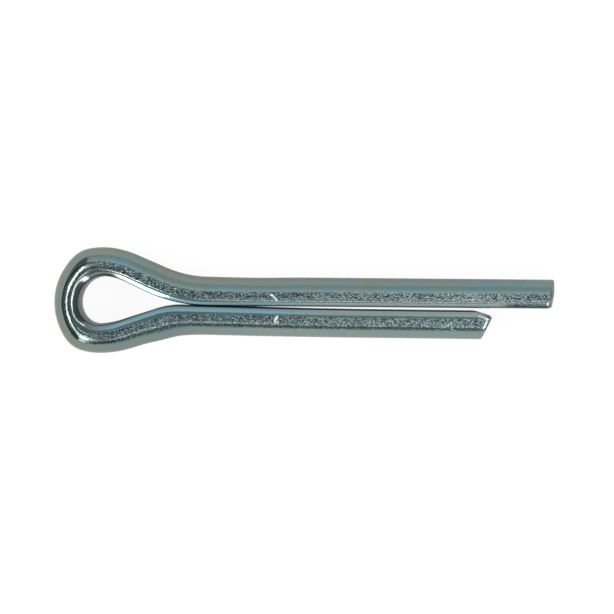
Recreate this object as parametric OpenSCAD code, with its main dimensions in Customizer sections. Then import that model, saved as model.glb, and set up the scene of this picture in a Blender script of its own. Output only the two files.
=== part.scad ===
// Cotter pin (split pin) of nominal size 4 x 20, folded from one length of half-round wire.
// The origin is the seat: the middle of the mouth of the hole that the pin is pushed into,
// with the underside of the eye resting on that hole's edge. +X runs along the shank to the
// tips, +Y goes to the long leg's side and +Z is square to the plane that the wire is bent in.

/* [Shank] */
// Diameter over the two closed legs, just behind the eye
shank_d = 3.6; // [3.5:0.05:3.7]
// Gap between the flat faces of the legs, just behind the eye
leg_gap = 0.03; // [0.01:0.01:0.1]
// Length of the short leg, from the seat to its tip
short_leg = 19.3; // [12:0.1:40]
// How much farther the long leg reaches
tip_step = 3.9; // [1:0.1:4]
// Angle by which each leg spreads outward, in degrees
splay_angle = 0.24; // [0:0.02:1]
// Distance from the seat to where the long leg starts to run straight
seat_run = 2.3; // [1:0.1:4]

/* [Wire section] */
// Height of the wire, square to the plane that it is bent in
wire_h = 3.28; // [3.2:0.02:3.34]
// Height of the flat face on the wire's inner side
flat_h = 2.5; // [2.2:0.05:2.7]
// Distance from the inner face to where the rolled inner edge meets the facet
facet_start = 0.5; // [0.4:0.05:0.7]
// Distance from the inner face to the crease where the facet meets the round back
facet_end = 1.1; // [0.95:0.05:1.3]

/* [Eye] */
// Outside width of the eye
eye_w = 6.55; // [6.4:0.05:7.4]
// How far the eye sits off the shank's centre line, towards the long leg
eye_offset = 0.27; // [0:0.01:0.4]
// Half of the angle that the round front of the eye turns through
crown_angle = 44; // [40:1:50]
// Angle that each of the eye's two tight corners turns through
corner_angle = 39; // [34:1:44]
// Inside radius of those two corners
corner_r = 0.1; // [0.05:0.05:0.4]
// Inside radius of the eye's two long cheeks
cheek_r = 4.25; // [3.6:0.05:5]
// Slope of the eye's underside on the long leg's side, in degrees
long_ramp_angle = 26.5; // [24:0.5:30]
// Slope of the eye's underside on the short leg's side, in degrees
short_ramp_angle = 23.5; // [20:0.5:26]

/* [Tips] */
// Width of the part of the long tip that is broken back, from the inner face
long_break_w = 1; // [0.2:0.1:1.4]
// Angle by which that part leans back from square
long_break_angle = 12; // [0:1:30]
// Distance from the short leg's inner face to the start of its slanting cut
short_point_w = 0.6; // [0.3:0.1:1.2]
// Angle by which the short leg's cut leans back from square
short_cut_angle = 28; // [0:1:45]
// Length of the bevel on the inner side of the short tip
short_bevel_l = 1; // [0.4:0.1:2]
// Slope of that bevel, in degrees
short_bevel_angle = 17; // [5:1:25]

/* [Hidden] */
$fn = 96;

long_leg = short_leg + tip_step;

// The wire is as thick as one leg: half of the shank, less half of the gap.
wire_t = (shank_d - leg_gap) / 2;

// The rolled inner edges lie on one circle, through the rim of the flat face and through
// the highest line of the wire. Its centre is on the section's middle line.
roll_x = (pow(facet_start, 2) + pow(wire_h / 2, 2) - pow(flat_h / 2, 2)) / (2 * facet_start);
roll_r = norm([roll_x, flat_h / 2]);

// The crease lies on the round back, and the facet falls from the highest line to it.
crease_z = sqrt(pow(wire_t, 2) - pow(facet_end, 2));
facet_fall = (wire_h / 2 - crease_z) / (facet_end - facet_start);
facet_z_in = wire_h / 2 + facet_fall * facet_start;
facet_z_out = wire_h / 2 - facet_fall * (wire_t - facet_start);

// Centre-line radii of the eye's arcs. The crown's radius is what is left of half the
// eye's width once the corner and the cheek have taken their share.
corner_mid = corner_r + wire_t / 2;
cheek_mid = cheek_r + wire_t / 2;
cheek_angle = 90 - crown_angle - corner_angle;
eye_mid = (eye_w - wire_t) / 2;
crown_mid = (eye_mid - cheek_mid * (1 - cos(cheek_angle))
    - corner_mid * (cos(cheek_angle) - cos(90 - crown_angle))) / sin(crown_angle);

// Length of one cutting block, which is larger than a wire's section
block = 3 * wire_t;

// A place is given in two steps, a rounded one and the small rest, so that none of the
// digits that the joint between two arcs depends on is lost.
module place(v) {
    coarse = [for (c = v) round(c * 1e4) / 1e4];
    translate(coarse) translate(v - coarse) children();
}

// Half-round section: flat face on x = 0, round back towards +x, a facet and a rolled
// inner edge above and below.
module wire_section() {
    intersection() {
        circle(r = wire_t);
        translate([roll_x, 0]) circle(r = roll_r);
        polygon([
            [0, -facet_z_in], [wire_t, -facet_z_out],
            [wire_t, facet_z_out], [0, facet_z_in],
        ]);
    }
}

// Wire bent to a centre-line radius, with its flat face on the inside of the bend
module bend_in(mid_r, from, to) {
    rotate_extrude(start = from, angle = to - from)
        place([mid_r - wire_t / 2, 0]) wire_section();
}

// Wire bent to a centre-line radius, with its flat face on the outside of the bend
module bend_out(mid_r, from, to) {
    rotate_extrude(start = from, angle = to - from)
        place([mid_r + wire_t / 2, 0]) mirror([1, 0]) wire_section();
}

function heading(angle) = [cos(angle), sin(angle), 0];

// Centre-line radius of the neck, which leads from a sloping cheek into a straight leg. It
// takes up the height that is left between the eye and the leg.
function neck_mid(offset, slope) = (eye_mid + offset - cheek_mid * (1 - cos(slope))
    - (leg_gap + wire_t * cos(splay_angle)) / 2) / (cos(splay_angle) - cos(slope));

// Distance along the shank from the middle of the crown to the start of the straight leg
function eye_run(neck_r, slope) = crown_mid - (crown_mid - corner_mid) * cos(crown_angle)
    + (cheek_mid - corner_mid) * sin(cheek_angle) + (cheek_mid + neck_r) * sin(slope)
    + (neck_r + wire_t / 2) * sin(splay_angle);

// Where the middle line of the wire crosses the front of the eye
crown_x = seat_run - eye_run(neck_mid(eye_offset, long_ramp_angle), long_ramp_angle);

// One half of the pin, from the middle of the crown to a tip: crown, tight corner, cheek,
// neck and straight leg. The children are the blocks that cut the tip.
module half_pin(offset, slope, reach) {
    neck_r = neck_mid(offset, slope);
    leg_x = crown_x + eye_run(neck_r, slope);
    crown_c = [crown_x + crown_mid, offset, 0];
    corner_c = crown_c + (crown_mid - corner_mid) * heading(180 - crown_angle);
    cheek_c = corner_c + (corner_mid - cheek_mid) * heading(90 + cheek_angle);
    neck_c = cheek_c + (cheek_mid + neck_r) * heading(90 - slope);
    place(crown_c) bend_in(crown_mid, 180 - crown_angle, 180);
    place(corner_c) bend_in(corner_mid, 90 + cheek_angle, 180 - crown_angle);
    place(cheek_c) bend_in(cheek_mid, 90 - slope, 90 + cheek_angle);
    place(neck_c) bend_out(neck_r, 270 - slope, 270 + splay_angle);
    place([leg_x, leg_gap / 2, 0]) rotate([0, 0, splay_angle])
        leg((reach - leg_x) / cos(splay_angle)) children();
}

// Straight leg along +x with its flat face on y = 0. The children are cut from its tip,
// and are given from the end of its flat face.
module leg(length) {
    difference() {
        rotate([90, 0, 90]) linear_extrude(length) wire_section();
        translate([length, 0, 0]) children();
    }
}

// Block that cuts away all beyond a plane, which passes through a point of the leg's side
// view and leans back by an angle: towards the outer face, or towards the inner face if
// the angle is negative.
module shear(x, y, lean) {
    translate([x, y, 0]) rotate([0, 0, lean])
        translate([0, -block, -block]) cube(2 * block);
}

// The pin: the long leg's half, and the short leg's half on the other side of the split
module split_pin() {
    color([0.48, 0.55, 0.56]) {
        half_pin(eye_offset, long_ramp_angle, long_leg)
            shear(0, long_break_w, -long_break_angle);
        mirror([0, 1, 0]) half_pin(-eye_offset, short_ramp_angle, short_leg) {
            shear(0, short_point_w, short_cut_angle);
            shear(-short_bevel_l, 0, short_bevel_angle - 90);
        }
    }
}

split_pin();
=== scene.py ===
"""A cotter pin of zinc plated steel wire, lying on a white table under soft light.

The pin is one length of half-round wire. Its flat side faces inward all the way round, so the
two legs meet on their flat faces and the eye shows a rounded back. This script carries the
wire's section along the bent middle line, shears and rolls the two tips, and finishes the
surface as bright zinc with a blue passivate.
"""
import logging
import math
from dataclasses import dataclass
from enum import Enum
from typing import Any

import bpy
import numpy as np
from mathutils import Euler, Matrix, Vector


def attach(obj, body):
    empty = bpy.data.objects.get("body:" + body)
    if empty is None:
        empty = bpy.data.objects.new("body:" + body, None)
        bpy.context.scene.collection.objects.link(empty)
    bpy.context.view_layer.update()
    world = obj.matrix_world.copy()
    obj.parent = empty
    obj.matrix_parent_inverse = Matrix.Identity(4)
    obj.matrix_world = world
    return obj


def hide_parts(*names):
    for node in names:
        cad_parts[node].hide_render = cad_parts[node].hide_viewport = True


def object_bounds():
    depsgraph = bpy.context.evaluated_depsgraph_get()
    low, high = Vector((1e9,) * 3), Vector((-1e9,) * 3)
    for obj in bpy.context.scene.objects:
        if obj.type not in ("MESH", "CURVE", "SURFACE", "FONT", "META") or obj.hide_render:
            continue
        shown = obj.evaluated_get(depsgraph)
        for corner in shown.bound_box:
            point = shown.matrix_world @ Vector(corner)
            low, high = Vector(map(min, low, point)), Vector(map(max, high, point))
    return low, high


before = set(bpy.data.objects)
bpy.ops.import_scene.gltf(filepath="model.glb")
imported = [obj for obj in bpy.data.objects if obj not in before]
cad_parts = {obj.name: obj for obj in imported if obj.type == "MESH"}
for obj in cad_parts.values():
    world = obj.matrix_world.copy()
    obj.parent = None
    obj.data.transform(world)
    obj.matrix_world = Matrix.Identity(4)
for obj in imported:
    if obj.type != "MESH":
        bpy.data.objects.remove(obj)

CAD_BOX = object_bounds()

MM = 0.001
WHITE = "FFFFFF"
log = logging.getLogger("cotter_pin")

Array = np.ndarray
Socket = bpy.types.NodeSocket
# Arrays by name, with a row for each ring or station along the wire.
Rows = dict[str, Array]
Pair = tuple[float, float]
# Band coordinates from and to, and the softness of the two ends.
Stretch = tuple[float, float, float]


def linear(code: str) -> tuple[float, float, float, float]:
    """Turns an sRGB hex colour into linear light.

    Args:
        code: The colour as six hex digits.

    Returns:
        Red, green, blue and an alpha of one.
    """
    channels = [int(code[i:i + 2], 16) / 255 for i in (0, 2, 4)]
    red, green, blue = [c / 12.92 if c <= 0.04045 else ((c + 0.055) / 1.055) ** 2.4 for c in channels]
    return red, green, blue, 1.0


def add_node(tree: bpy.types.NodeTree, kind: str, inputs: dict[Any, Any] | None = None,
             **settings: Any) -> bpy.types.Node:
    """Adds a node with its settings, and sets or links its inputs.

    A Mix node has several inputs of the same name, so those are given by index: 0 is the
    share, 2 and 3 are two numbers with their result at output 0, and 6 and 7 are two colours
    with theirs at output 2.

    Args:
        tree: The node tree that takes the node.
        kind: Blender's type name of the node.
        inputs: For each input name or index, a value or the output that feeds it.
        settings: The node's own properties.

    Returns:
        The new node.
    """
    node = tree.nodes.new(kind)
    for name, value in settings.items():
        setattr(node, name, value)
    for name, value in (inputs or {}).items():
        if isinstance(value, Socket):
            tree.links.new(value, node.inputs[name])
        else:
            node.inputs[name].default_value = value
    return node


def add_object(name: str, data: bpy.types.ID) -> bpy.types.Object:
    """Puts a mesh, a lamp or a camera into the scene under a name."""
    piece = bpy.data.objects.new(name, data)
    bpy.context.scene.collection.objects.link(piece)
    return piece


def ease(x: Array, start: float, end: float) -> Array:
    """Rises smoothly from 0 at start to 1 at end: three times the square less twice the cube."""
    t = np.clip((x - start) / (end - start), 0.0, 1.0)
    return t * t * (3.0 - 2.0 * t)


def hill(x: Array, middle: float, spread: float) -> Array:
    """A bell curve of height 1: e to minus the square of the distance over the spread."""
    return np.exp(-((x - middle) / spread) ** 2)


def arch(x: Array) -> Array:
    """A parabola that is 0 at 0 and at 1, and 1 half way: four times x times 1 less x."""
    return 4.0 * x * (1.0 - x)


def past(x: Array, softness: float = 0.06) -> Array:
    """The part of x above zero with its corner rounded: half of x plus the root of x squared
    plus the softness squared."""
    return 0.5 * (x + np.sqrt(x * x + softness * softness))


def running_mean(values: Array, reach: int) -> Array:
    """Averages each value with as many neighbours on each side as the reach says, which rounds
    a corner. The end values go on past the ends."""
    count = 2 * reach + 1
    return np.convolve(np.pad(values, reach, mode="edge"), np.full(count, 1.0 / count), "valid")


def lattice_noise(u: Array, v: Array, cell: Pair, period: float,
                  seed: int) -> Array:
    """Smooth noise from -1 to 1: random values on a square lattice, blended across each cell.

    Args:
        u: First coordinate, in mm.
        v: Second coordinate, in mm, which closes on itself after one period.
        cell: Lattice spacing along u and v, in mm.
        period: Length of the loop in v, in mm.
        seed: Seed of the random values.

    Returns:
        An array of the shape of u.
    """
    rows = max(2, round(period / cell[1]))
    a = (u - u.min()) / cell[0]
    b = v / period * rows
    i = np.floor(a).astype(int)
    j = np.floor(b).astype(int)
    values = np.random.default_rng(seed).uniform(-1.0, 1.0, (i.max() + 2, rows))
    s = ease(a - i, 0.0, 1.0)
    t = ease(b - j, 0.0, 1.0)
    near = values[i, j % rows] * (1 - t) + values[i, (j + 1) % rows] * t
    far = values[i + 1, j % rows] * (1 - t) + values[i + 1, (j + 1) % rows] * t
    return near * (1 - s) + far * s


class Side(Enum):
    """The two halves of the pin, each with the sign of y on its side of the split."""

    LONG = 1.0
    SHORT = -1.0


@dataclass(frozen=True)
class Tint:
    """A tone laid over part of the finish: the share times the attribute named in where, on a
    stretch of the section or all round it."""

    tone: str
    share: float
    where: str
    stretch: Stretch | None = None


@dataclass(frozen=True)
class SkinNodes:
    """A node tree with the skin's attributes by name, the WireMap and the peel's grain."""

    tree: bpy.types.NodeTree
    fact: dict[str, Socket]
    wire: Socket
    grain: Socket

    def stretch(self, limits: Stretch) -> Socket:
        """Finds the part of the section that lies in one stretch: a smooth step up at its start
        less a smooth step up at its end.

        Args:
            limits: The stretch.

        Returns:
            The share, from 0 to 1.
        """
        start, end, soft = limits
        steps = [add_node(self.tree, "ShaderNodeMapRange", {
            "Value": self.fact["band"], "From Min": limit - soft, "From Max": limit + soft},
            interpolation_type="SMOOTHSTEP").outputs["Result"] for limit in (start, end)]
        return add_node(self.tree, "ShaderNodeMath", dict(enumerate(steps)),
                        operation="SUBTRACT").outputs[0]

    def tinted(self, colour: Any, tints: tuple[Tint, ...]) -> Socket:
        """Lays tints over a colour, one after another.

        Args:
            colour: The colour under the tints, as four numbers or an output.
            tints: The tints, the lowest first.

        Returns:
            The tinted colour.
        """
        for tint in tints:
            share = add_node(self.tree, "ShaderNodeMath", {0: self.fact[tint.where], 1: tint.share},
                             operation="MULTIPLY").outputs[0]
            if tint.stretch:
                share = add_node(self.tree, "ShaderNodeMath", {0: share, 1: self.stretch(tint.stretch)},
                                 operation="MULTIPLY").outputs[0]
            colour = add_node(self.tree, "ShaderNodeMix", {0: share, 6: colour, 7: linear(tint.tone)},
                              data_type="RGBA").outputs[2]
        return colour


@dataclass(frozen=True)
class BluePassivatedZinc:
    """Electroplated zinc, 5 to 8 micrometres thick, with a clear blue passivate.

    The plating follows the steel under it. The round back was drawn through a die and shows
    broad soft highlights. The rolled inner edges are burnished and mirror the lamps as narrow
    bright bands. The facets were pressed by the forming rolls and have an orange-peel grain, so
    they sparkle. Bending polished the crown of the eye. The passivate is an interference film,
    blue where it is thin and olive where it is thicker, in patches. The sheared tips are bare
    grey steel, darkened to carry painted shade as well. Painted highlights lie on the nicks, the
    chamfers, the lips and the ridges, and painted shade lies beside the facet's crease and along
    the rims of the inner face on the neck.

    The material reads the attributes of Zones.shares(), and WireMap, a UV map in mm.
    """

    back_olive: str = "74786C"
    back_blue: str = "647D83"
    back_pale: str = "7D8C89"
    rolled: str = "98A29E"
    facet: str = "85989A"
    # Dark grey of the grain's pits. The tints also use it for painted shade on the short neck's rolled edge
    # and the short leg's facet, and for darker rolled edges at the crown and on the long leg.
    pit_and_shade: str = "2A3940"
    # Painted shade: the dark line beside the facet's crease and along the long neck's rims.
    shade_tone: str = "2C3A38"
    # Painted highlight on the lips, ridges and crease, the nicks and the chamfers.
    highlight_tone: str = "D4DCD6"
    # The bare grey steel of the cuts, made dark to also carry painted shade: the cut faces mirror the
    # shadowed floor beside the tips.
    bare: str = "566260"
    # The film's colour changes over 1 to 4 mm on such parts.
    patch_mm: float = 2.2
    # The peel's real grain is about 0.03 mm, and it is drawn twice as coarse so that it shows.
    grain_mm: float = 0.07
    grain_stretch: float = 0.6
    grain_depth_mm: float = 0.026
    # Drawing lines are under 0.02 mm apart and are drawn as faint soft waves instead.
    satin_mm: float = 0.16
    satin_depth_mm: float = 0.003
    # Roughness of the drawn back, of the crown's back and of the burnished edges.
    back_rough: float = 0.24
    crown_rough: float = 0.09
    rolled_rough: float = 0.13
    rolled_stretch: Stretch = (0.95, 2.0, 0.12)
    # The facet's inner limit is crisp in the eye and on the short leg, ragged on the long leg.
    crisp_stretch: Stretch = (2.0, 3.0, 0.06)
    ragged_stretch: Stretch = (2.08, 3.0, 0.26)
    facet_limit: Stretch = (1.5, 3.0, 0.06)
    coarse_stretch: Stretch = (1.25, 2.1, 0.2)
    rolled_tints: tuple[Tint, ...] = (
        Tint("7F8C8C", 1.0, "short_side"),
        Tint("7599A6", 0.75, "neck"),
        # Painted shade on the short neck's rolled edge: a dark line along the rim of the inner face, and a
        # shade that fades out up the rolled edge.
        Tint(pit_and_shade, 0.455, "short_neck", (0.8, 1.2, 0.06)),
        Tint(pit_and_shade, 0.34, "short_neck", (-1.0, 1.35, 0.25)),
        Tint("5A5648", 0.85, "cheek"),
        Tint(pit_and_shade, 0.55, "crown"),
    )
    facet_tints: tuple[Tint, ...] = (
        Tint("7F8C8E", 0.5, "crown"),
        # Painted shade: the facet is darker on the short leg to offset the lamps on that side.
        Tint(pit_and_shade, 0.28, "short_side"),
    )
    # Painted shade beside the facet's crease, painted highlights on the short half's lips and the long
    # half's crease, darker rolled edges down the long leg and at its coarse tip, painted highlights on the
    # ridges, the nicks and the chamfers, painted shade along the long neck's rims, then the bare cuts.
    line_tints: tuple[Tint, ...] = (
        Tint(shade_tone, 1.0, "crease_shade", (2.77, 2.94, 0.05)),
        # Painted highlights: the short half's pressed lips, and the long half's crease.
        Tint(highlight_tone, 1.0, "short_lip_highlight", (2.62, 2.74, 0.05)),
        Tint(highlight_tone, 0.1, "plain", (2.95, 3.08, 0.04)),
        Tint(pit_and_shade, 0.2, "shank", (1.2, 1.65, 0.1)),
        Tint(pit_and_shade, 0.3125, "coarse", (1.2, 1.65, 0.1)),
        # Painted highlights along the ridges and the upper rolled edges.
        Tint(highlight_tone, 0.198, "shank", (1.72, 2.04, 0.08)),
        Tint(highlight_tone, 0.14, "shank", (1.72, 2.32, 0.1)),
        Tint(highlight_tone, 0.3, "cheek", (1.86, 2.0, 0.05)),
        Tint(highlight_tone, 0.25, "short_side", (1.86, 2.0, 0.05)),
        # Painted highlights on the nicks and on the tips' chamfers.
        Tint(highlight_tone, 0.85, "nick"),
        Tint(highlight_tone, 0.45, "chamfer"),
        # Painted shade along the rims of the long neck's inner face, where the legs meet.
        Tint(shade_tone, 0.9, "long_neck", (0.8, 1.2, 0.06)),
        # The bare grey cut, darkened to carry painted shade as well.
        Tint(bare, 1.0, "cut"),
    )

    def material(self, mesh: bpy.types.Mesh) -> bpy.types.Material:
        """Builds the node tree.

        Args:
            mesh: The skin, whose float attributes the nodes read.

        Returns:
            The material.
        """
        material = bpy.data.materials.new("blue_passivated_zinc")
        material.use_nodes = True
        tree = material.node_tree
        tree.nodes.clear()
        fact = {layer.name: add_node(tree, "ShaderNodeAttribute", attribute_name=layer.name).outputs["Fac"]
                for layer in mesh.attributes if layer.data_type == "FLOAT"}
        wire = add_node(tree, "ShaderNodeUVMap", uv_map="WireMap").outputs["UV"]
        # The noise is read half a cell up, off the plane of its own lattice.
        place = add_node(tree, "ShaderNodeMapping", {
            "Vector": wire, "Location": (0.0, 0.0, self.grain_mm / 2),
            "Scale": (self.grain_stretch, 1.0, 1.0)})
        grain = add_node(tree, "ShaderNodeTexNoise", {
            "Vector": place.outputs["Vector"], "Scale": 1.0 / self.grain_mm, "Detail": 2.0,
            "Roughness": 0.7}).outputs["Fac"]
        # The painted shade beside the facet's crease is lighter by a fifth where the grain is high.
        shade_break = add_node(tree, "ShaderNodeMapRange", {
            "Value": grain, "From Min": 0.4, "From Max": 0.6, "To Min": 1.0, "To Max": 0.8})
        fact["crease_shade"] = add_node(tree, "ShaderNodeMath", {
            0: fact["crease_shaded"], 1: shade_break.outputs["Result"]}, operation="MULTIPLY").outputs[0]
        skin = SkinNodes(tree, fact, wire, grain)
        rolled = skin.stretch(self.rolled_stretch)
        ragged = add_node(tree, "ShaderNodeMath", {
            0: skin.stretch(self.ragged_stretch), 1: skin.stretch(self.facet_limit)},
            operation="MULTIPLY")
        facet = add_node(tree, "ShaderNodeMix", {
            0: fact["crisp"], 2: ragged.outputs[0], 3: skin.stretch(self.crisp_stretch)}).outputs[0]
        coarse = add_node(tree, "ShaderNodeMath", {
            0: skin.stretch(self.coarse_stretch), 1: fact["coarse"]}, operation="MULTIPLY")
        speckled = add_node(tree, "ShaderNodeMath", {0: facet, 1: coarse.outputs[0]}, operation="MAXIMUM")
        edges = skin.tinted(linear(self.rolled), self.rolled_tints)
        colour = self._back(skin)
        for share, layer in ((rolled, edges), (speckled.outputs[0], self._speckle(skin))):
            colour = add_node(tree, "ShaderNodeMix", {0: share, 6: colour, 7: layer},
                              data_type="RGBA").outputs[2]
        back_rough = add_node(tree, "ShaderNodeMapRange", {
            "Value": fact["crown"], "To Min": self.back_rough, "To Max": self.crown_rough})
        rough = add_node(tree, "ShaderNodeMix", {
            0: rolled, 2: back_rough.outputs["Result"], 3: self.rolled_rough})
        # The bare cuts mirror less at a grazing angle than the plated skin does.
        grazing = add_node(tree, "ShaderNodeMapRange", {"Value": fact["cut"], "To Min": 0.7, "To Max": 0.3})
        shader = add_node(tree, "ShaderNodeBsdfPrincipled", {
            "Base Color": skin.tinted(colour, self.line_tints), "Metallic": 1.0,
            "Specular Tint": grazing.outputs["Result"], "Roughness": rough.outputs[0],
            "Normal": self._bumps(skin, facet)})
        add_node(tree, "ShaderNodeOutputMaterial", {"Surface": shader.outputs["BSDF"]})
        return material

    def _back(self, skin: SkinNodes) -> Socket:
        """Colours the back by the film's thickness, in soft patches: olive where it is thick,
        blue where it is thin, and paler down the short leg.

        Args:
            skin: The nodes of the skin.

        Returns:
            The colour.
        """
        place = add_node(skin.tree, "ShaderNodeMapping", {"Vector": skin.wire, "Scale": (1.0, 1.4, 1.0)})
        patch = add_node(skin.tree, "ShaderNodeTexNoise", {
            "Vector": place.outputs["Vector"], "Scale": 1.0 / self.patch_mm, "Detail": 4.0,
            "Roughness": 0.6}).outputs["Fac"]
        thin = add_node(skin.tree, "ShaderNodeMath", {0: skin.fact["film"], 1: patch}, operation="ADD")
        blue = add_node(skin.tree, "ShaderNodeMapRange", {
            "Value": thin.outputs[0], "From Min": 0.38, "From Max": 0.68, "To Min": 0.15})
        colour = add_node(skin.tree, "ShaderNodeMix", {
            0: blue.outputs["Result"], 6: linear(self.back_olive), 7: linear(self.back_blue)},
            data_type="RGBA").outputs[2]
        paling = add_node(skin.tree, "ShaderNodeMapRange", {
            "Value": patch, "From Min": 0.4, "From Max": 0.62, "To Min": 0.72, "To Max": 0.44})
        pale = add_node(skin.tree, "ShaderNodeMath", {
            0: skin.fact["pale"], 1: paling.outputs["Result"]}, operation="MULTIPLY")
        return add_node(skin.tree, "ShaderNodeMix", {
            0: pale.outputs[0], 6: colour, 7: linear(self.back_pale)}, data_type="RGBA").outputs[2]

    def _speckle(self, skin: SkinNodes) -> Socket:
        """Colours the facet: dark in the pits of the grain and light on its peaks, with more
        pits where the facet is dull.

        Args:
            skin: The nodes of the skin.

        Returns:
            The colour.
        """
        lowered = add_node(skin.tree, "ShaderNodeMath", {
            0: skin.fact["dull"], 1: -0.035, 2: skin.grain}, operation="MULTIPLY_ADD")
        peaks = add_node(skin.tree, "ShaderNodeMapRange", {
            "Value": lowered.outputs[0], "From Min": 0.43, "From Max": 0.59})
        colour = add_node(skin.tree, "ShaderNodeMix", {
            0: peaks.outputs["Result"], 6: linear(self.pit_and_shade), 7: linear(self.facet)},
            data_type="RGBA").outputs[2]
        return skin.tinted(colour, self.facet_tints)

    def _bumps(self, skin: SkinNodes, facet: Socket) -> Socket:
        """Roughens the facet with the peel's grain and everything with the satin of drawing.

        Args:
            skin: The nodes of the skin.
            facet: The facet's share.

        Returns:
            The normal.
        """
        height = skin.grain
        for share in (facet, skin.fact["peel"]):
            height = add_node(skin.tree, "ShaderNodeMath", {0: height, 1: share},
                              operation="MULTIPLY").outputs[0]
        peel = add_node(skin.tree, "ShaderNodeBump", {
            "Height": height, "Strength": 1.0, "Distance": self.grain_depth_mm * MM})
        place = add_node(skin.tree, "ShaderNodeTexCoord").outputs["Object"]
        satin = add_node(skin.tree, "ShaderNodeTexNoise", {
            "Vector": place, "Scale": 1.0 / (self.satin_mm * MM), "Detail": 2.0})
        return add_node(skin.tree, "ShaderNodeBump", {
            "Height": satin.outputs["Fac"], "Strength": 1.0, "Distance": self.satin_depth_mm * MM,
            "Normal": peel.outputs["Normal"]}).outputs["Normal"]


@dataclass(frozen=True)
class Half:
    """Sizes of one half of the eye and its leg, in mm and degrees.

    The bends are the crown, the corner, the cheek, a straight ramp and the neck, which leads
    into the leg. The leg dips on its outer side and is fuller on its inner side at the start.
    The ridge is how far out the section's highest point lies, and the crease is where its facet
    meets the back. The sheared tip leans back on the outer or the inner side and from the lower
    edge upward, and its inner side may be pinched towards the point.
    """

    side: Side
    crown_angle: float
    corner_r: float
    cheek_r: float
    ramp_angle: float
    ramp_run: float
    neck_r: float
    splay_angle: float
    bow_angle: float
    cheek_t: float
    neck_swell: float
    reach: float
    ridge: float
    ramp_ridge: float
    crease: float
    back_h: float
    leg_dip: float
    dip_run: float
    dip_spread: float
    start_fill: float
    outer_cut_from: float
    outer_cut_angle: float
    inner_cut_to: float
    inner_cut_angle: float
    pinch_run: float
    pinch_angle: float
    lean_angle: float
    chamfer_run: float
    chamfer_drop: float


@dataclass(frozen=True)
class Nick:
    """A scratch or a dent, placed on the upper surface in mm."""

    x: float
    y: float
    length: float
    angle: float
    width: float
    depth: float


@dataclass(frozen=True)
class Unevenness:
    """Random relief: its height and the size of its cells, in mm, and the seed of its noise."""

    height: float
    cell: Pair
    seed: int


@dataclass(frozen=True)
class Zones:
    """Where the finish changes: from and to for each soft step, in mm of run from the crown.

    The coarse tip is in mm of x, the outer back is a band coordinate, and the cheek has a
    middle and a spread. The film's values shift its patches towards blue.
    """

    short_side: Pair = (-1.5, 1.5)
    past_crown: Pair = (2.0, 5.0)
    past_eye: Pair = (8.0, 10.5)
    neck_start: Pair = (2.5, 5.0)
    neck_end: Pair = (12.5, 19.0)
    cheek: Pair = (-4.85, 1.4)
    shank: Pair = (9.0, 12.0)
    coarse_tip: Pair = (19.6, 20.4)
    pale_leg: Pair = (8.0, 14.0)
    long_tip: Pair = (16.0, 29.0)
    short_cheek: Pair = (3.0, 8.0)
    outer_back: Pair = (3.0, 3.6)
    film_rest: float = 0.07
    film_long_tip: float = 0.11
    film_short_cheek: float = 0.04
    film_crown: float = -0.07
    film_outer_back: float = -0.11
    # The painted highlight beside the short half's facet, which is brighter on the neck.
    lip: float = 0.06
    neck_lip_highlight: float = 0.1
    # How much of the peel bending and shearing have smoothed away.
    crown_polish: float = 0.78
    chamfer_polish: float = 0.85

    def shares(self, rings: Rows) -> Rows:
        """Works out what the finish reads at each point of the skin.

        Args:
            rings: The arrays of SplitPin's rings, with the nicks.

        Returns:
            Arrays by name, which become the mesh's attributes.
        """
        run = rings["run"]
        far = np.abs(run)
        short_side = ease(run, *self.short_side)
        crown = 1.0 - ease(far, *self.past_crown)
        eye = 1.0 - ease(far, *self.past_eye)
        neck = ease(far, *self.neck_start) * (1.0 - ease(far, *self.neck_end))
        coarse = ease(rings["x"], *self.coarse_tip)
        crease_shaded = np.maximum(short_side, crown)
        sheared = np.clip(2.0 * rings["chamfer"], 0.0, 1.0)
        film = (self.film_rest + self.film_long_tip * ease(-run, *self.long_tip)
                + self.film_short_cheek * ease(run, *self.short_cheek) + self.film_crown * crown
                + self.film_outer_back * ease(rings["band"], *self.outer_back))
        return {
            **{name: rings[name] for name in ("band", "cut", "chamfer", "nick")},
            "short_side": short_side,
            "crown": crown,
            "neck": neck,
            "short_neck": short_side * neck,
            "long_neck": (1.0 - short_side) * neck,
            "short_lip_highlight": short_side * (self.lip + self.neck_lip_highlight * neck),
            "cheek": hill(run, *self.cheek),
            "shank": ease(-run, *self.shank),
            "coarse": coarse,
            "pale": ease(run, *self.pale_leg),
            "film": film,
            "crisp": np.maximum(short_side, eye),
            "crease_shaded": crease_shaded,
            "plain": 1.0 - crease_shaded,
            "dull": np.maximum(neck, coarse),
            "peel": (1.0 - self.crown_polish * crown) * (1.0 - self.chamfer_polish * sheared),
        }


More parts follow.
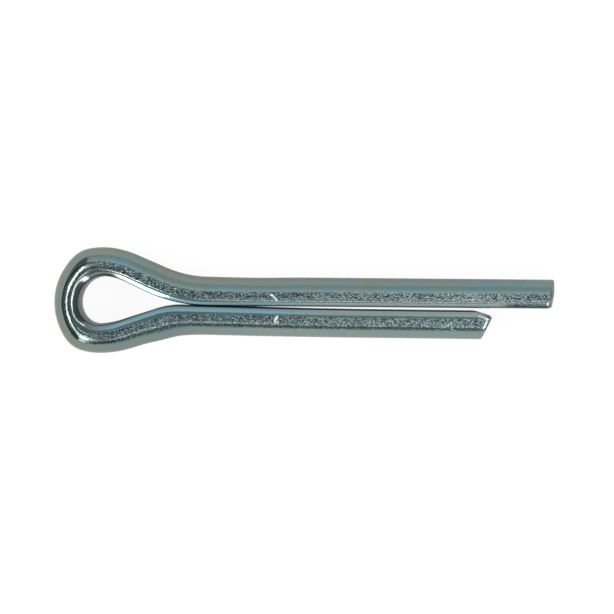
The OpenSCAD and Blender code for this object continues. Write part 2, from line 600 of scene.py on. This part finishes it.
@dataclass(frozen=True)
class WireSection:
    """Half-round section: flat inner face, rolled inner edges, facets and a round back. The
    number of points is for the upper half, and they are averaged from finer ones."""

    wire_t: float = 1.785
    wire_h: float = 3.28
    face_points: int = 22
    rolled_points: int = 14
    facet_points: int = 16
    back_points: int = 34
    oversampling: int = 6
    rounding: int = 6

    def shape(self, rim: Array, ridge: Array, crease: Array,
              back_h: Array) -> tuple[Array, Array, Array]:
        """Walks once round the section of each ring, from the middle of the inner face.

        The upper half is a straight line up the inner face, an arc through the face's rim and
        the highest point, a straight facet, and an oval back. The lower half is its mirror
        image. A running mean over neighbouring points rounds the corners.

        Args:
            rim: Half height of the flat face, in mm, as a column with a row for each ring.
            ridge: How far out the highest point lies, likewise.
            crease: How far out the facet meets the back, likewise.
            back_h: Half height of the oval that the back follows, likewise.

        Returns:
            Across and height in mm, and the band coordinate, which runs from 0 to 1 up the
            face and on by 1 over each next band.
        """
        top = self.wire_h / 2
        counts = [points * self.oversampling for points in (
            self.face_points, self.rolled_points, self.facet_points, self.back_points)]
        shares = [(np.arange(count) + 0.5)[None, :] / count for count in counts]
        face, roll, facet, back = shares
        roll_x = (ridge ** 2 + top ** 2 - rim ** 2) / (2 * ridge)
        roll_r = np.hypot(roll_x, rim)
        start, end = np.arctan2(rim, -roll_x), np.arctan2(top, ridge - roll_x)
        roll_turn = start + (end - start) * roll
        crease_turn = np.arccos(crease / self.wire_t)
        crease_h = back_h * np.sin(crease_turn)
        back_turn = crease_turn * (1.0 - back)
        across = [0.0 * rim * face, roll_x + roll_r * np.cos(roll_turn),
                  ridge + (crease - ridge) * facet, self.wire_t * np.cos(back_turn)]
        height = [rim * face, roll_r * np.sin(roll_turn), top + (crease_h - top) * facet,
                  back_h * np.sin(back_turn)]
        band = [0.0 * rim + number + share for number, share in enumerate(shares)]
        width = 2 * self.rounding + 1
        smooth = []
        for parts, sign in ((across, 1.0), (height, -1.0), (band, 1.0)):
            half = np.concatenate(parts, axis=1)
            whole = np.concatenate([half, sign * half[:, ::-1]], axis=1)
            closed = np.pad(whole, ((0, 0), (self.rounding, self.rounding)), mode="wrap")
            sums = np.cumsum(np.pad(closed, ((0, 0), (1, 0))), axis=1)
            mean = (sums[:, width:] - sums[:, :-width]) / width
            smooth.append(mean[:, ::self.oversampling])
        return smooth[0], smooth[1], smooth[2]


@dataclass(frozen=True)
class PinPath:
    """The wire's middle line, from the crown of the eye to each tip, in mm.

    The thickness and the swells are hills along the run: a pair is how far past its bend one
    peaks and its spread, and a spread alone is for one that peaks in the middle of its bend.
    """

    crown_x: float
    eye_offset: float = 0.109
    crown_r: float = 2.709
    corner_angle: float = 75.0
    leg_t: float = 1.785
    crown_t: float = 1.607
    crown_fill: float = 0.06
    corner_swell: float = 0.149
    cheek_hill: Pair = (1.6, 2.0)
    neck_hill: Pair = (0.3, 1.3)
    start_hill: Pair = (2.5, 4.5)
    crown_spread: float = 1.6
    crown_fill_spread: float = 3.4
    corner_spread: float = 0.712
    ramp_fade: float = 6.0
    bow_start: float = 1.5
    bow_run: float = 11.0
    start_gap: float = 0.002
    spare_run: float = 2.0
    step: float = 0.02
    blend_run: float = 0.3

    def trace(self, half: Half) -> Rows:
        """Lays out one half from the middle of the crown to the tip.

        The heading is a chain of bends of constant radius, blended by a running mean, and the
        place is the running sum of unit steps along the heading. Three rounds correct the
        neck's radius so that the leg's flat face starts at its gap from the split.

        Args:
            half: The sizes of this half.

        Returns:
            Arrays by name, with a value for each step: run, x, y, and inner and outer, the
            wire's reach to each side, in mm; out_x and out_y, the way out of the pin; and bent,
            ramped and crown, the shares of the eye, of the eye with its ramp and of the crown.
        """
        neck_r = half.neck_r
        fall = math.cos(math.radians(half.splay_angle)) - math.cos(math.radians(half.ramp_angle))
        for _ in range(3):
            rows, leg_start = self._lay(half, neck_r)
            at_leg = int(np.searchsorted(rows["run"], leg_start))
            face_y = rows["y"][at_leg] * half.side.value - rows["inner"][at_leg]
            neck_r += (face_y - self.start_gap) / fall
        end_run = np.interp(half.reach, rows["x"][at_leg:], rows["run"][at_leg:])
        kept = rows["run"] < end_run
        return {name: np.append(values[kept], np.interp(end_run, rows["run"], values))
                for name, values in rows.items()}

    def _lay(self, half: Half, neck_r: float) -> tuple[Rows, float]:
        """Sums the headings of one half for a given neck radius.

        Args:
            half: The sizes of this half.
            neck_r: The radius of the bend that leads into the leg.

        Returns:
            The arrays of trace(), and the run at which the leg starts.
        """
        cheek_angle = 90.0 + half.ramp_angle - half.crown_angle - self.corner_angle
        neck_angle = half.ramp_angle + half.splay_angle
        bends = [
            (self.crown_r * math.radians(half.crown_angle), half.crown_angle),
            (half.corner_r * math.radians(self.corner_angle), self.corner_angle),
            (half.cheek_r * math.radians(cheek_angle), cheek_angle),
            (half.ramp_run, 0.0),
            (neck_r * math.radians(neck_angle), -neck_angle),
            (self.bow_start, 0.0),
            (self.bow_run, half.bow_angle),
        ]
        runs = np.concatenate([[0.0], np.cumsum([run for run, _ in bends])])
        turns = np.concatenate([[0.0], np.cumsum([turn for _, turn in bends])])
        _, crown_end, corner_end, _, ramp_end, leg_start, _, _ = runs
        count = int((leg_start + half.reach + self.spare_run) / self.step)
        run = np.arange(-count, count + 1) * self.step
        turn = np.sign(run) * np.interp(np.abs(run), runs, turns)
        turn = running_mean(turn, int(self.blend_run / self.step / 2))[count:]
        run = run[count:]
        heading = np.radians(90.0 - turn)
        along = np.stack([np.cos(heading), np.sin(heading)])
        steps = 0.5 * (along[:, 1:] + along[:, :-1]) * self.step
        place = np.concatenate([np.zeros((2, 1)), np.cumsum(steps, axis=1)], axis=1)
        cheek_past, cheek_spread = self.cheek_hill
        neck_past, neck_spread = self.neck_hill
        start_past, start_spread = self.start_hill
        thick = (self.leg_t + (half.cheek_t - self.leg_t) * hill(run, corner_end + cheek_past, cheek_spread)
                 + (self.crown_t - self.leg_t) * hill(run, 0.0, self.crown_spread))
        swell = (self.corner_swell * hill(run, (crown_end + corner_end) / 2, self.corner_spread)
                 + half.neck_swell * hill(run, ramp_end + neck_past, neck_spread)
                 - half.leg_dip * hill(run, leg_start + half.dip_run, half.dip_spread))
        fill = (half.start_fill * hill(run, leg_start + start_past, start_spread)
                + self.crown_fill * hill(run, 0.0, self.crown_fill_spread))
        sign = half.side.value
        rows = {
            "run": run,
            "x": self.crown_x + self.crown_t / 2 + place[0],
            "y": self.eye_offset + sign * place[1],
            "out_x": -along[1],
            "out_y": sign * along[0],
            "inner": thick / 2 + fill,
            "outer": thick / 2 + swell,
            "bent": 1.0 - ease(run, corner_end, ramp_end),
            "ramped": 1.0 - ease(run, ramp_end, leg_start + self.ramp_fade),
            "crown": 1.0 - ease(run, crown_end, corner_end),
        }
        return rows, float(leg_start)


@dataclass(frozen=True)
class SplitPin:
    """The pin as one closed skin: the section carried along the path, with two sheared tips."""

    low: Vector
    section: WireSection = WireSection()
    zones: Zones = Zones()
    long_half: Half = Half(
        side=Side.LONG, crown_angle=24.2, corner_r=2.402, cheek_r=5.06, ramp_angle=23.5,
        ramp_run=1.7, neck_r=9.0, splay_angle=0.12, bow_angle=-0.09, cheek_t=1.807,
        neck_swell=0.021, reach=23.43, ridge=0.34, ramp_ridge=0.40, crease=0.92, back_h=1.785,
        leg_dip=0.045, dip_run=2.7, dip_spread=2.3, start_fill=0.016,
        outer_cut_from=1.7, outer_cut_angle=0.0, inner_cut_to=1.0, inner_cut_angle=9.0,
        pinch_run=0.3, pinch_angle=3.0, lean_angle=10.0, chamfer_run=0.12, chamfer_drop=0.05)
    short_half: Half = Half(
        side=Side.SHORT, crown_angle=18.6, corner_r=2.05, cheek_r=5.89, ramp_angle=19.0,
        ramp_run=2.2, neck_r=3.0, splay_angle=0.92, bow_angle=0.95, cheek_t=1.879,
        neck_swell=0.187, reach=19.52, ridge=0.47, ramp_ridge=0.50, crease=1.20, back_h=1.93,
        leg_dip=0.024, dip_run=14.0, dip_spread=8.0, start_fill=0.048,
        outer_cut_from=0.45, outer_cut_angle=26.0, inner_cut_to=0.42, inner_cut_angle=22.0,
        pinch_run=1.2, pinch_angle=17.0, lean_angle=7.8, chamfer_run=0.23, chamfer_drop=0.065)
    crown_inset: float = 0.07
    crown_ridge: float = 0.56
    crown_crease: float = 1.16
    crown_back_h: float = 1.785
    leg_rim: float = 1.46
    crown_rim: float = 1.39
    ring_run: float = 0.126
    nick_rings: float = 1.2
    tip_run: float = 2.4
    cap_middle: float = 0.8
    roll_rings: int = 7
    cap_rings: int = 13
    rim_round: float = 0.05
    chamfer_flat: float = 0.7
    # The chamfer lies on the upper side and is slight beyond the crease.
    upper_part: Pair = (0.0, 0.4)
    past_crease: Pair = (-0.2, 0.1)
    back_part: float = 0.8
    # The bare cut starts this far down the rounded edge, as shares of its drop.
    bare_from: Pair = (0.6, 1.05)
    face_bulge: float = 0.07
    facet_rise: float = 0.008
    facet_bulge: float = 0.055
    roll_bulge: float = 0.012
    dimples: Unevenness = Unevenness(0.0012, (0.24, 0.2), 3)
    waves: Unevenness = Unevenness(0.0015, (1.3, 0.5), 5)
    fracture: Unevenness = Unevenness(0.008, (0.3, 0.3), 8)
    fracture_squeeze: float = 3.0
    # The dimples fade in and out along the band coordinate.
    dimples_start: Pair = (1.7, 2.1)
    dimples_end: Pair = (2.9, 3.1)
    # A nick of this depth or more gets its full painted highlight.
    deep_nick: float = 0.045
    nicks: tuple[Nick, ...] = (
        Nick(5.74, 0.54, 0.62, -36.0, 0.04, 0.045),
        Nick(5.56, 0.72, 0.20, 10.0, 0.05, 0.04),
        Nick(5.86, -0.73, 0.42, 58.0, 0.05, 0.05),
        Nick(5.88, -0.97, 0.26, 0.0, 0.04, 0.04),
        Nick(1.50, 0.62, 0.24, 100.0, 0.06, 0.018),
        Nick(16.45, -1.02, 0.90, 28.0, 0.035, 0.016),
        Nick(16.80, -1.32, 0.40, -35.0, 0.035, 0.016),
    )

    def build(self) -> bpy.types.Object:
        """Builds the skin as one mesh object.

        Returns:
            The object, at the origin, with its shape in metres.
        """
        path = PinPath(crown_x=self.low.x / MM + self.crown_inset)
        long_rings = self._half_rings(path.trace(self.long_half), self.long_half)
        short_rings = self._half_rings(path.trace(self.short_half), self.short_half)
        long_rings["run"] *= -1.0
        rings = {name: np.concatenate([long_rings[name][::-1], short_rings[name][1:]])
                 for name in long_rings}
        points = np.stack([rings["x"], rings["y"], rings["z"]], axis=-1)
        rings["girth"] = self._girth(points)
        points += self._relief(points, rings)[..., None] * self._normals(points)
        return self._mesh(points, rings)

    def dress(self, piece: bpy.types.Object) -> None:
        """Gives the skin its bright zinc."""
        piece.data.materials.append(BluePassivatedZinc().material(piece.data))

    def _half_rings(self, rows: Rows, half: Half) -> Rows:
        """Sets the section square to the middle line at each ring of one half, with the tip's
        cap. Near the tip the rings lean to follow the cut.

        Args:
            rows: The middle line from PinPath.trace().
            half: The sizes of this half.

        Returns:
            Arrays by name: x, y, z, run, band, cut and chamfer.
        """
        on_path = self._stations(rows, half)
        across, height, band = self._bent_section(on_path, half)
        cap = self._cap(across[-1], height[-1], half)
        near = 1.0 - ease(on_path["left"], 0.0, self.tip_run)
        left = on_path["left"] + (self._cut(across, height, half) + cap["edge"]) * near
        none = np.zeros_like(band)
        body = {"across": across, "height": height, "left": left, "cut": none, "chamfer": none}
        shape = {name: np.concatenate([values, cap[name]]) for name, values in body.items()}
        extra = cap["cut"].shape[0]
        place = {name: np.concatenate([values, np.repeat(values[-1:], extra, axis=0)])
                 for name, values in {**on_path, "band": band}.items()}
        beyond = place["left"] - shape["left"]
        swell = (place["inner"] + place["outer"]) / self.section.wire_t
        off = -place["inner"] + self._pinched(shape["across"], shape["left"], half) * swell
        return {
            "x": place["x"] + place["out_x"] * off + abs(place["out_y"]) * beyond,
            "y": place["y"] + place["out_y"] * off - half.side.value * place["out_x"] * beyond,
            "z": shape["height"],
            "run": place["run"] + beyond,
            "band": place["band"],
            "cut": shape["cut"],
            "chamfer": shape["chamfer"],
        }

    def _stations(self, rows: Rows, half: Half) -> Rows:
        """Picks the stations of the rings, evenly but for denser ones at the nicks.

        Args:
            rows: The middle line from PinPath.trace().
            half: The sizes of this half.

        Returns:
            The middle line at each ring, as columns, with left, the run to the tip in mm.
        """
        density = 1.0 + sum((nick.y * half.side.value > 0) * (1.0 - rows["bent"])
                            * self.nick_rings * hill(rows["x"], nick.x, nick.length)
                            for nick in self.nicks)
        ring = np.concatenate([[0.0], np.cumsum(np.diff(rows["run"]) * density[1:])]) / self.ring_run
        stations = np.interp(np.linspace(0.0, ring[-1], round(ring[-1])), ring, rows["run"])
        on_path = {name: np.interp(stations, rows["run"], values)[:, None]
                   for name, values in rows.items()}
        on_path["left"] = rows["run"][-1] - stations[:, None]
        return on_path

    def _cap(self, across: Array, height: Array, half: Half) -> Rows:
        """Lays out the tip's last rings, inward from the section's outline. They roll over the
        cut's edge in a quarter circle, which on the upper side widens into a flatter chamfer,
        and then shrink to the middle of the cut face.

        Args:
            across: How far out each point of the outline lies, in mm.
            height: The height of each point, in mm.
            half: The sizes of this half.

        Returns:
            Across, height, left (the distance back from the tip), cut and chamfer, and for the
            outline alone edge, how far the rounding reaches back.
        """
        reach = np.hypot(across - self.cap_middle, height)
        crease_from, crease_to = self.past_crease
        upper = ease(height / self.section.wire_h, *self.upper_part)
        upper = upper * (1.0 - self.back_part * ease(across, half.crease + crease_from,
                                                     half.crease + crease_to))
        edge = self.rim_round + (half.chamfer_run - self.rim_round) * upper
        drop = self.rim_round + (half.chamfer_drop - self.rim_round) * upper
        way = np.linspace(0.0, 1.0, self.roll_rings + 1)[1:, None]
        turns = np.radians(90.0 * way)
        inset = 1.0 - np.cos(turns)
        inset = drop * (inset + (way - inset) * self.chamfer_flat) / reach
        shrink = np.linspace(0.0, 1.0, self.cap_rings + 1)[1:, None]
        inset = np.concatenate([inset, inset[-1] + (1.0 - inset[-1]) * shrink])
        back = 1.0 - np.sin(turns)
        back = edge * (back + (1.0 - way - back) * self.chamfer_flat)
        flat = np.zeros((self.cap_rings, across.size))
        cap_across = self.cap_middle + (across - self.cap_middle) * (1.0 - inset)
        cap_height = height * (1.0 - inset)
        return {
            "across": cap_across,
            "height": cap_height,
            "left": self._cut(cap_across, cap_height, half) + np.concatenate([back, flat]),
            "cut": ease(inset * reach, self.bare_from[0] * drop, self.bare_from[1] * drop),
            "chamfer": np.concatenate([upper + 0.0 * way, flat]),
            "edge": edge,
        }

    def _bent_section(self, on_path: Rows, half: Half) -> tuple[Array, Array, Array]:
        """Gives each ring its section: the ridge and the crease move along the wire, and where
        the wire is bent its squeezed inner face bulges and its facet rounds over.

        Args:
            on_path: The middle line at each ring, as columns.
            half: The sizes of this half.

        Returns:
            Across and height in mm and the band coordinate, for each ring and point.
        """
        crown = on_path["crown"]
        bent = on_path["bent"]
        ridge = half.ridge + (half.ramp_ridge - half.ridge) * on_path["ramped"]
        ridge = ridge + (self.crown_ridge - ridge) * crown
        crease = half.crease + (self.crown_crease - half.crease) * crown
        back_h = half.back_h + (self.crown_back_h - half.back_h) * crown
        rim = self.leg_rim + (self.crown_rim - self.leg_rim) * crown
        across, height, band = self.section.shape(rim, ridge, crease, back_h)
        lift = (self.facet_rise + self.facet_bulge * bent) * arch(np.clip(band - 2.0, 0.0, 1.0))
        puff = self.roll_bulge * arch(np.clip(band - 1.0, 0.0, 1.0))
        roll_h = self.section.wire_h / 2 - rim
        chord = np.hypot(ridge, roll_h)
        squeeze = np.clip(height / rim, -1.0, 1.0) ** 2 * np.clip(1.0 - across / ridge, 0.0, 1.0)
        across = across + self.face_bulge * bent * squeeze - puff * roll_h / chord
        return across, height + np.sign(height) * (lift + puff * ridge / chord), band

    def _pinched(self, across: Array, left: Array, half: Half) -> Array:
        """Moves the inner side of the wire outward on its last stretch: by the slope's tangent
        for each mm, falling to nothing where the facet starts."""
        slope = math.tan(math.radians(half.pinch_angle))
        fall = np.clip(1.0 - across / half.ridge, 0.0, 1.0)
        return across + past(half.pinch_run - left) * slope * fall

    def _cut(self, across: Array, height: Array, half: Half) -> Array:
        """How far the cut face lies back from the farthest point of the tip, in mm: the sum of
        its slopes on the outer side, on the inner side and from the lower edge upward."""
        outer = past(across - half.outer_cut_from) * math.tan(math.radians(half.outer_cut_angle))
        inner = past(half.inner_cut_to - across) * math.tan(math.radians(half.inner_cut_angle))
        rise = height + self.section.wire_h / 2
        return outer + inner + rise * math.tan(math.radians(half.lean_angle))

    @staticmethod
    def _girth(points: Array) -> Array:
        """Distance round each ring from its first point, in mm, with the whole girth last."""
        steps = np.linalg.norm(np.diff(points, axis=1, append=points[:, :1]), axis=-1)
        return np.cumsum(np.pad(steps, ((0, 0), (1, 0))), axis=1)

    @staticmethod
    def _normals(points: Array) -> Array:
        """Unit normals out of the wire: the cross product of the differences along the ring
        and along the wire."""
        along = np.gradient(points, axis=0)
        around = np.roll(points, -1, axis=1) - np.roll(points, 1, axis=1)
        normal = np.cross(around, along)
        size = np.linalg.norm(normal, axis=-1, keepdims=True)
        return normal / np.maximum(size, 1e-9)

    def _relief(self, points: Array, rings: Rows) -> Array:
        """Height of the surface's relief in mm: dimples on the facets, faint waves on the whole
        skin, the torn grain of the cuts, and a bell-shaped groove for each nick.

        Args:
            points: Places in mm, by ring and point.
            rings: The arrays from _half_rings(), with the girth. The nicks are added.

        Returns:
            One height for each point.
        """
        run = rings["run"]
        body = 1.0 - rings["cut"]
        facet = (ease(rings["band"], *self.dimples_start)
                 * (1.0 - ease(rings["band"], *self.dimples_end)) * body)
        around = rings["girth"][:, :-1]
        whole = float(rings["girth"][:, -1].mean())
        torn = run * self.fracture_squeeze + points[..., 1]
        relief = np.zeros_like(run)
        for kind, share, u in ((self.dimples, facet, run), (self.waves, body, run),
                               (self.fracture, rings["cut"], torn)):
            relief += kind.height * share * lattice_noise(u, around, kind.cell, whole, kind.seed)
        rings["nick"] = np.zeros_like(run)
        for nick in self.nicks:
            turn = math.radians(nick.angle)
            dx = points[..., 0] - nick.x
            dy = points[..., 1] - nick.y
            along = dx * math.cos(turn) + dy * math.sin(turn)
            side = dy * math.cos(turn) - dx * math.sin(turn)
            groove = np.exp(-(along / nick.length * 2) ** 4 - (side / nick.width) ** 2)
            groove = groove * (points[..., 2] > 0)
            relief -= nick.depth * groove
            # The nick's share of the painted highlight grows with its depth.
            rings["nick"] = np.maximum(rings["nick"], groove * min(1.0, nick.depth / self.deep_nick))
        return relief

    def _mesh(self, points: Array, rings: Rows) -> bpy.types.Object:
        """Joins neighbouring rings with quads and closes each tip with a fan to one point.

        Args:
            points: Places in mm, by ring and point.
            rings: The arrays from _half_rings(), with the girth and the nicks.

        Returns:
            The object.
        """
        ring_count, count = points.shape[:2]
        points[0] = points[0].mean(axis=0)
        points[-1] = points[-1].mean(axis=0)
        grid = np.arange(ring_count * count).reshape(ring_count, count)
        following = np.roll(grid, -1, axis=1)
        used = np.ones(ring_count * count, bool)
        used[grid[0, 1:]] = False
        used[grid[-1, 1:]] = False
        index = np.cumsum(used) - 1
        quads = np.stack([grid[1:-2], following[1:-2], following[2:-1], grid[2:-1]], axis=-1)
        first = np.full(count, grid[0, 0])
        last = np.full(count, grid[-1, 0])
        fans = np.concatenate([np.stack([first, following[1], grid[1]], axis=-1),
                               np.stack([last, grid[-2], following[-2]], axis=-1)])
        faces = index[quads.reshape(-1, 4)].tolist() + index[fans].tolist()
        mesh = bpy.data.meshes.new("split_pin_skin")
        mesh.from_pydata((points.reshape(-1, 3)[used] * MM).tolist(), [], faces)
        for name, values in self.zones.shares(rings).items():
            layer = mesh.attributes.new(name, "FLOAT", "POINT")
            layer.data.foreach_set("value", values.reshape(-1)[used].astype(np.float32))
        wire_map = mesh.uv_layers.new(name="WireMap")
        wire_map.data.foreach_set("uv", self._wire_map(rings).ravel())
        mesh.polygons.foreach_set("use_smooth", np.ones(len(mesh.polygons), bool))
        mesh.update()
        return add_object("split_pin_skin", mesh)

    @staticmethod
    def _wire_map(rings: Rows) -> Array:
        """Lays the skin out flat in mm: the run along the wire and the way round it.

        Args:
            rings: The arrays from _half_rings(), with the girth.

        Returns:
            Two coordinates for each corner of each face, in the order of the faces.
        """
        here = np.stack([rings["run"], rings["girth"][:, :-1]], axis=-1)
        closing = np.stack([rings["run"], rings["girth"][:, 1:]], axis=-1)
        ahead = np.roll(here, -1, axis=1)
        ahead[:, -1] = closing[:, -1]
        quads = np.stack([here[1:-2], ahead[1:-2], ahead[2:-1], here[2:-1]], axis=-2)
        fans = np.concatenate([np.stack([here[0], ahead[1], here[1]], axis=1),
                               np.stack([here[-1], here[-2], ahead[-2]], axis=1)])
        return np.concatenate([quads.reshape(-1, 2), fans.reshape(-1, 2)]).astype(np.float32)


@dataclass(frozen=True)
class Softbox:
    """A lamp with a white or tinted front, aimed at the pin, in metres and degrees."""

    name: str
    azimuth: float
    elevation: float
    distance: float
    width: float
    height: float
    radiance: float
    tint: str = WHITE

    def build(self, aim: Vector) -> bpy.types.Object:
        """Adds the lamp. Its power is the radiance times pi times the area of its front.

        Args:
            aim: The point that it faces.

        Returns:
            The lamp's object.
        """
        lamp = bpy.data.lights.new(self.name, "AREA")
        lamp.shape = "RECTANGLE"
        lamp.size = self.width
        lamp.size_y = self.height
        lamp.energy = self.radiance * math.pi * self.width * self.height
        lamp.color = linear(self.tint)[:3]
        turn = math.radians(self.azimuth)
        rise = math.radians(self.elevation)
        way = Vector((math.cos(turn) * math.cos(rise), math.sin(turn) * math.cos(rise), math.sin(rise)))
        piece = add_object(self.name, lamp)
        piece.location = aim + way * self.distance
        piece.rotation_euler = way.to_track_quat("Z", "Y").to_euler()
        piece.visible_camera = False
        return piece


@dataclass(frozen=True)
class Studio:
    """White table, softboxes, a grey room, and a camera that looks down, leaning a little.

    Sizes are in metres and angles in degrees. The camera sees the room as plain white, and the
    floor too but for the small share that keeps the pin's shadow. The mirrored shares are how
    much white the metal sees.
    """

    low: Vector
    high: Vector
    camera_height: float = 0.115
    frame_width: float = 0.038375
    sensor_mm: float = 36.0
    roll_angle: float = 0.72
    tilt_angle: float = 1.5
    aim_x: float = 0.000202
    aim_y: float = -0.000304
    floor_side: float = 1.6
    floor_tone: str = "F4F4F4"
    floor_seen: float = 0.93
    floor_mirrored: float = 0.2
    room_tone: str = "A5B2B3"
    room_strength: float = 0.6
    room_seen: float = 1.0
    room_mirrored: float = 0.1
    softboxes: tuple[Softbox, ...] = (
        Softbox("left_strip_far", 148.0, 44.0, 0.40, 0.20, 0.075, 10.0, "FFF6EE"),
        Softbox("left_strip", 182.0, 40.5, 0.40, 0.28, 0.05, 11.0, "FFF6EE"),
        Softbox("left_strip_near", 217.0, 42.0, 0.40, 0.22, 0.038, 11.0, "FFF6EE"),
        Softbox("left_low", 239.5, 27.0, 0.40, 0.09, 0.30, 9.0, "FFF6EE"),
        Softbox("right_strip_near", -27.0, 60.0, 0.40, 0.28, 0.045, 7.0, "FFF8F2"),
        Softbox("right_strip_far", 24.0, 60.0, 0.40, 0.42, 0.045, 7.0, "FFF8F2"),
        Softbox("right_tall", -60.0, 38.0, 0.40, 0.08, 0.22, 6.0, "FFF8F2"),
        Softbox("top_near", 270.0, 76.0, 0.40, 0.30, 0.035, 4.0),
        Softbox("near_panel", -90.0, 35.0, 0.50, 0.46, 0.20, 0.8, "EEF6FC"),
        Softbox("far_panel", 90.0, 34.0, 0.50, 0.50, 0.60, 0.9, "F0F6F6"),
    )

    def build(self) -> None:
        """Adds the floor, the room, the lamps and the camera."""
        self._floor()
        self._room()
        for box in self.softboxes:
            box.build(Vector((0.0, 0.0, 0.0)))
        self._camera()

    def _whitened(self, tree: bpy.types.NodeTree, tone: Socket, white: str, seen: float,
                  mirrored: float) -> Socket:
        """Mixes plain white into a surface: one share for the camera's rays and another for
        what is mirrored or seen through.

        Args:
            tree: The node tree of the surface.
            tone: The surface's own shader.
            white: The type name of the node that gives the white.
            seen: The share of white for the camera.
            mirrored: The share of white in mirrored and transmitted light.

        Returns:
            The mixed shader.
        """
        rays = add_node(tree, "ShaderNodeLightPath").outputs
        bounced = add_node(tree, "ShaderNodeMath", {
            0: rays["Is Glossy Ray"], 1: rays["Is Transmission Ray"]}, operation="ADD")
        bounced = add_node(tree, "ShaderNodeMath", {0: bounced.outputs[0], 1: mirrored},
                           operation="MULTIPLY")
        share = add_node(tree, "ShaderNodeMath", {
            0: rays["Is Camera Ray"], 1: seen, 2: bounced.outputs[0]}, operation="MULTIPLY_ADD")
        plain = add_node(tree, white, {"Color": linear(WHITE), "Strength": 1.0})
        return add_node(tree, "ShaderNodeMixShader", {
            0: share.outputs[0], 1: tone, 2: plain.outputs[0]}).outputs["Shader"]

    def _floor(self) -> None:
        """Adds the table top, of a pale matt paper that takes the pin's soft shadow."""
        side = self.floor_side / 2
        corners = [(-side, -side), (side, -side), (side, side), (-side, side)]
        mesh = bpy.data.meshes.new("table_top")
        mesh.from_pydata([(x, y, self.low.z) for x, y in corners], [], [(0, 1, 2, 3)])
        table = add_object("table_top", mesh)
        material = bpy.data.materials.new("white_table")
        material.use_nodes = True
        tree = material.node_tree
        tree.nodes.clear()
        lit = add_node(tree, "ShaderNodeBsdfDiffuse", {"Color": linear(self.floor_tone)})
        mixed = self._whitened(tree, lit.outputs["BSDF"], "ShaderNodeEmission", self.floor_seen,
                               self.floor_mirrored)
        add_node(tree, "ShaderNodeOutputMaterial", {"Surface": mixed})
        mesh.materials.append(material)

    def _room(self) -> None:
        """Fills the room with one cool grey, the dark tone between the lamps in the metal."""
        world = bpy.data.worlds.new("room")
        world.use_nodes = True
        tree = world.node_tree
        tree.nodes.clear()
        tone = add_node(tree, "ShaderNodeBackground", {
            "Color": linear(self.room_tone), "Strength": self.room_strength})
        mixed = self._whitened(tree, tone.outputs["Background"], "ShaderNodeBackground",
                               self.room_seen, self.room_mirrored)
        add_node(tree, "ShaderNodeOutputWorld", {"Surface": mixed})
        bpy.context.scene.world = world

    def _camera(self) -> None:
        """Hangs a long lens over the pin, leaning a little towards the long leg's side and
        turned a little about the vertical."""
        lens = bpy.data.cameras.new("camera")
        lens.sensor_width = self.sensor_mm
        lens.lens = self.sensor_mm * self.camera_height / self.frame_width
        lens.clip_start = 0.005
        piece = add_object("camera", lens)
        middle = (self.low + self.high) / 2
        aim = Vector((middle.x + self.aim_x, middle.y + self.aim_y, 0.0))
        turn = Euler((-math.radians(self.tilt_angle), 0.0, math.radians(self.roll_angle)))
        piece.rotation_euler = turn
        piece.location = aim + turn.to_matrix() @ Vector((0.0, 0.0, self.camera_height))
        bpy.context.scene.camera = piece


def main() -> None:
    """Builds the pin and the studio, and says what each piece is."""
    logging.basicConfig(level=logging.INFO, format="%(message)s")
    low, high = CAD_BOX
    pin = SplitPin(Vector(low))
    skin = pin.build()
    pin.dress(skin)
    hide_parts("split_pin")
    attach(skin, "root")
    log.info("%s: %d faces", skin.name, len(skin.data.polygons))
    Studio(Vector(low), Vector(high)).build()
    bpy.context.scene.view_settings.view_transform = "Standard"


if __name__ == "__main__":
    main()
